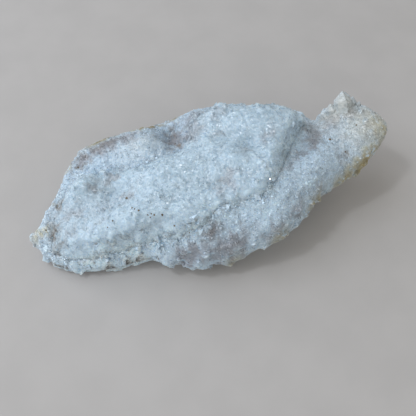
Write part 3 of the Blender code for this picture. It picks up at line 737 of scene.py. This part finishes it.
TALL_POINTS = (              # x, y, half width, height, and its lean to the right and the back as slopes
    (50.8, 7.2, 3.1, 3.8, 0.0, 0.6), (47.2, 7.4, 1.9, 2.2, -0.3, 0.5), (54.4, 7, 1.6, 1.8, 0.3, 0.5),
    (45.2, 7, 1.1, 1.2, -0.5, 0.4), (56.4, 5.6, 1.1, 1.2, 0.6, 0.3), (43.4, 7, 0.8, 1.0, -0.5, 0.2),
    (-12.6, -24.8, 1.0, 0.9, 0.0, -0.6), (-18.4, -21.4, 0.9, 0.9, -0.2, -0.5),
    (30.6, 3.6, 0.9, 0.8, 0.4, 0.2), (38.4, -3.6, 0.8, 0.8, -0.3, 0.3), (-6.6, -19, 0.8, 0.8, 0.3, -0.4),
)
PYRAMID_SHARE = 1.1          # the pyramid's height over the crystal's half width
LEAST_HEIGHT = 0.8           # the least that a crystal is tall, over its pyramid's height
PRISM_ROOT = 2.0             # how far it goes down into the stone, over its half width


def tall_point(place, up, half_width, height):
    """A prism from 0 to 1 with a pyramid from 1 to 2, which is then stretched to size and stood up."""
    bm = bmesh.new()
    bmesh.ops.create_cone(bm, cap_ends=True, segments=6, radius1=1.0, radius2=1.0, depth=1.0)
    bmesh.ops.translate(bm, verts=bm.verts, vec=(0, 0, 0.5))
    top = max(bm.faces, key=lambda face: face.calc_center_median().z)
    bmesh.ops.poke(bm, faces=[top], offset=1.0)
    shoulder = max(height - PYRAMID_SHARE * half_width, 0)
    for corner in bm.verts:
        if corner.co.z < 0.5:
            corner.co.z = -PRISM_ROOT * half_width
        elif corner.co.z < 1.5:
            corner.co.z = shoulder
        else:
            corner.co.z = max(height, PYRAMID_SHARE * half_width * LEAST_HEIGHT)
        corner.co.x *= half_width
        corner.co.y *= half_width
    stood = Vector((0, 0, 1)).rotation_difference(up).to_matrix().to_4x4()
    bm.transform(Matrix.Translation(place) @ stood @ Matrix.Scale(MM, 4))
    bmesh.ops.recalc_face_normals(bm, faces=bm.faces)
    mesh = bpy.data.meshes.new("tall_point")
    bm.to_mesh(mesh)
    bm.free()
    return mesh


def top_of_stone(x, y):
    """The highest place of the stone there, in metres, and which way it faces."""
    hits = [stone.ray_cast(Vector((x, y, ABOVE_ALL)) * MM, Vector((0, 0, -1))) for stone in stones]
    return max((hit for hit in hits if hit[0]), key=lambda hit: hit[0].z)[:2]


graph = bpy.context.evaluated_depsgraph_get()
stones = [BVHTree.FromObject(body, graph) for body in (quartz_body, calcite_body)]
points = [tall_point(top_of_stone(x, y)[0], Vector((right, back, 1)).normalized(), half_width, height)
          for x, y, half_width, height, right, back in TALL_POINTS]
tall_points = new_body("tall_points", merged("tall_points", points))
store_patches(tall_points.data)
tall_points.data.materials.append(quartz_crystal)
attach(tall_points, "root")


# ---- the calcite grains -------------------------------------------------------------------------
# Fine sharp rhombs, clearer than the crust, fill in between its half melted ones and catch the light.

GRAIN_SPACING, GRAIN_SIZE, GRAIN_LEAN = 0.85 * MM, (0.25 * MM, 0.75 * MM), 0.7

store_growth(calcite_body, CRUST_GROWS_FROM, CRUST_HELD_BACK)
grow("calcite_grains", calcite_body, rhomb, GRAIN_SPACING, GRAIN_SIZE, GRAIN_LEAN, seed=31,
     finish=calcite_crystal)


# ---- the seam crystals --------------------------------------------------------------------------
# Where the crust thins out on the quartz, larger rhombs of calcite stand in a ragged row on both sides
# of its edge: some rooted in the quartz, and some in the crust's steep flank.

SEAM_WIDTH = 1.6 * MM
SEAM_SPACING, SEAM_SIZE, SEAM_LEAN = 0.75 * MM, (0.5 * MM, 1.2 * MM), 0.6
EDGE_SPACING = SEAM_SPACING * 1.3             # on the crust's steep flank
SEAM_GROUND = (-0.3, 0.1)    # how far up the quartz faces where these start to grow, and grow fully
FLANK_FOOT, FLANK_BROW = (-0.2, 0.0), (0.35, 0.6)    # the same for where the flank starts, and ends


def near_to(body, other):
    """1 for each vertex of a body that lies along its seam with another."""
    surface = BVHTree.FromObject(other, bpy.context.evaluated_depsgraph_get())
    return np.array([surface.find_nearest(vertex.co, SEAM_WIDTH)[0] is not None
                     for vertex in body.data.vertices], float)


places, normals = places_and_normals(quartz_body.data)
bare = 1 - covered_by(places, calcite_body)
upward = ramp(normals[:, 2], *SEAM_GROUND)
store(quartz_body.data, "growth",
      bare * near_to(quartz_body, calcite_body) * upward * (1 - patches(places, RIM_PATCHES)))
grow("seam_crystals", quartz_body, rhomb, SEAM_SPACING, SEAM_SIZE, SEAM_LEAN, seed=41,
     finish=calcite_crystal)
places, normals = places_and_normals(calcite_body.data)
steep = ramp(normals[:, 2], *FLANK_FOOT) * (1 - ramp(normals[:, 2], *FLANK_BROW))
store(calcite_body.data, "growth",
      near_to(calcite_body, quartz_body) * steep * (1 - patches(places, RIM_PATCHES)))
grow("edge_crystals", calcite_body, rhomb, EDGE_SPACING, SEAM_SIZE, SEAM_LEAN, seed=43,
     finish=calcite_crystal)
for spare in (point_shape, rhomb):
    bpy.data.objects.remove(spare)


# ---- the iron specks ----------------------------------------------------------------------------
# Crumbs of dark brown iron ore, most of them under a millimetre, are caught in the front of the crust
# and in the gully. They are set into the mineral, which holds them.

IRON_BROWN, IRON_AMBER = (0.07, 0.052, 0.028, 1), (0.22, 0.155, 0.06, 1)
SPECK_PATTERN = 3000.0       # to the metre
SPECK_RELIEF = 0.1 * MM
SPECK_SUNK = 0.25            # over its half width
SPECK_KNOBS = (0.75, 1.2)    # least and greatest reach of its corners, over its half width
SPECK_LENGTH, SPECK_WIDTH, SPECK_THICKNESS = (0.8, 1.3), (0.7, 1.0), 0.6
SPECKS = (                   # x, y, half width, in millimetres
    (-29, -1.7, 0.51), (-28.5, -6.9, 0.34), (-27.8, -7.7, 0.31), (-26.8, -8.6, 0.41), (-35.4, -7.8, 0.31),
    (-37.5, -8.8, 0.27), (-24.5, -10.8, 0.34), (-23.4, -10.9, 0.31), (-22.6, -11.5, 0.37), (-24, -11.6, 0.24),
    (-20.2, -12.2, 0.34), (-17.5, -15.7, 0.31), (-13.3, -18, 0.27), (41.9, -3.2, 0.48), (42.7, -3.5, 0.2),
    (51.6, -2.3, 0.31), (44.8, -9.3, 0.34), (47, -8.4, 0.27), (-57.1, 2.2, 0.31), (-51.4, 9.2, 0.34),
    (-41.2, 19.8, 0.34), (-6.9, 17.2, 0.41),
)


def crumb(place, up, half_width, luck):
    """One knobbly lump of ore, flattened along the way that the stone faces."""
    bm = bmesh.new()
    bmesh.ops.create_icosphere(bm, subdivisions=2, radius=half_width * MM)
    for vertex in bm.verts:
        vertex.co *= luck.uniform(*SPECK_KNOBS)
    flat = Matrix.Diagonal((luck.uniform(*SPECK_LENGTH), luck.uniform(*SPECK_WIDTH), SPECK_THICKNESS, 1))
    turned = Matrix.Rotation(luck.uniform(0, math.tau), 4, "Z")
    stood = Vector((0, 0, 1)).rotation_difference(up).to_matrix().to_4x4()
    low = Matrix.Translation(place - up * half_width * MM * SPECK_SUNK)
    bm.transform(low @ stood @ turned @ flat)
    mesh = bpy.data.meshes.new("crumb")
    bm.to_mesh(mesh)
    bm.free()
    return mesh


luck = random.Random(8)
crumbs = [crumb(*top_of_stone(x, y), half_width, luck) for x, y, half_width in SPECKS]
specks = new_body("iron_specks", merged("iron_specks", crumbs))
ore = bpy.data.materials.new("iron_ore")
ore.use_nodes = True
tree = ore.node_tree
shader = tree.nodes["Principled BSDF"]
grit = put(tree, "ShaderNodeTexNoise", {
    "Vector": put(tree, "ShaderNodeTexCoord").outputs["Object"], "Scale": SPECK_PATTERN,
    "Detail": 3.0}).outputs[0]
tree.links.new(over(tree, mask(tree, grit, 0.4, 0.7), IRON_BROWN, IRON_AMBER), shader.inputs["Base Color"])
tree.links.new(maths(tree, "MULTIPLY_ADD", grit, -0.4, 0.8), shader.inputs["Roughness"])
bump = put(tree, "ShaderNodeBump", {"Height": grit, "Strength": 1.0, "Distance": SPECK_RELIEF})
tree.links.new(bump.outputs[0], shader.inputs["Normal"])
specks.data.materials.append(ore)
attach(specks, "root")


# ---- floor, light and camera --------------------------------------------------------------------
# The specimen lies on plain pale paper in soft light from the upper left, seen from above.

PAPER_GREY, PAPER_PALE = (0.42, 0.42, 0.425, 1), (0.44, 0.44, 0.445, 1)
PAPER_HALF_WIDTH = 1.5       # metres, as are the places of the lights
DAYLIGHT, WARM_LIGHT, PLAIN_LIGHT = (0.86, 0.91, 1.0), (1.0, 0.97, 0.93), (1.0, 1.0, 1.0)


def shine(name, place, size, energy, colour):
    """A square light that faces the specimen."""
    light = new_body(name, bpy.data.lights.new(name, "AREA"))
    light.data.size = size
    light.data.energy = energy
    light.data.color = colour
    light.location = place
    light.rotation_euler = (-light.location).to_track_quat("-Z", "Y").to_euler()


floor_mesh = bmesh.new()
bmesh.ops.create_grid(floor_mesh, x_segments=2, y_segments=2, size=PAPER_HALF_WIDTH)
paper = bpy.data.meshes.new("paper")
floor_mesh.to_mesh(paper)
floor_mesh.free()
floor = new_body("floor", paper)
paper_finish = bpy.data.materials.new("paper")
paper_finish.use_nodes = True
tree = paper_finish.node_tree
shader = tree.nodes["Principled BSDF"]
fibre = put(tree, "ShaderNodeTexNoise", {
    "Vector": put(tree, "ShaderNodeTexCoord").outputs["Object"], "Scale": 60.0, "Detail": 5.0}).outputs[0]
tree.links.new(over(tree, mask(tree, fibre, 0.3, 0.7), PAPER_GREY, PAPER_PALE), shader.inputs["Base Color"])
shader.inputs["Roughness"].default_value = 0.85
shader.inputs["Specular IOR Level"].default_value = 0.2
floor.data.materials.append(paper_finish)

shine("window", place=(-0.60, 0.38, 0.60), size=1.1, energy=7.4, colour=DAYLIGHT)
shine("lamp", place=(-0.36, 0.12, 0.72), size=0.08, energy=0.9, colour=PLAIN_LIGHT)
shine("fill", place=(-0.42, -0.58, 0.48), size=0.8, energy=1.8, colour=WARM_LIGHT)
sky = bpy.data.worlds.new("sky")
sky.use_nodes = True
air = sky.node_tree.nodes["Background"]
air.inputs["Color"].default_value = (1.0, 0.94, 0.85, 1)
air.inputs["Strength"].default_value = 0.46
bpy.context.scene.world = sky
bpy.context.scene.view_settings.view_transform = "Standard"

CAMERA_AZIMUTH, CAMERA_ELEVATION = math.radians(-19.5), math.radians(60)
CAMERA_TARGET, CAMERA_DISTANCE = Vector((-0.0034, -0.0076, 0.0116)), 0.197
camera = new_body("camera", bpy.data.cameras.new("camera"))
camera.data.lens = 50
camera.data.sensor_width = 36
camera.data.clip_start = 0.01
back = Vector((math.sin(CAMERA_AZIMUTH) * math.cos(CAMERA_ELEVATION),
               -math.cos(CAMERA_AZIMUTH) * math.cos(CAMERA_ELEVATION), math.sin(CAMERA_ELEVATION)))
right = Vector((math.cos(CAMERA_AZIMUTH), math.sin(CAMERA_AZIMUTH), 0))
camera.matrix_world = Matrix((right, back.cross(right), back)).transposed().to_4x4()
camera.location = CAMERA_TARGET + back * CAMERA_DISTANCE
bpy.context.scene.camera = camera
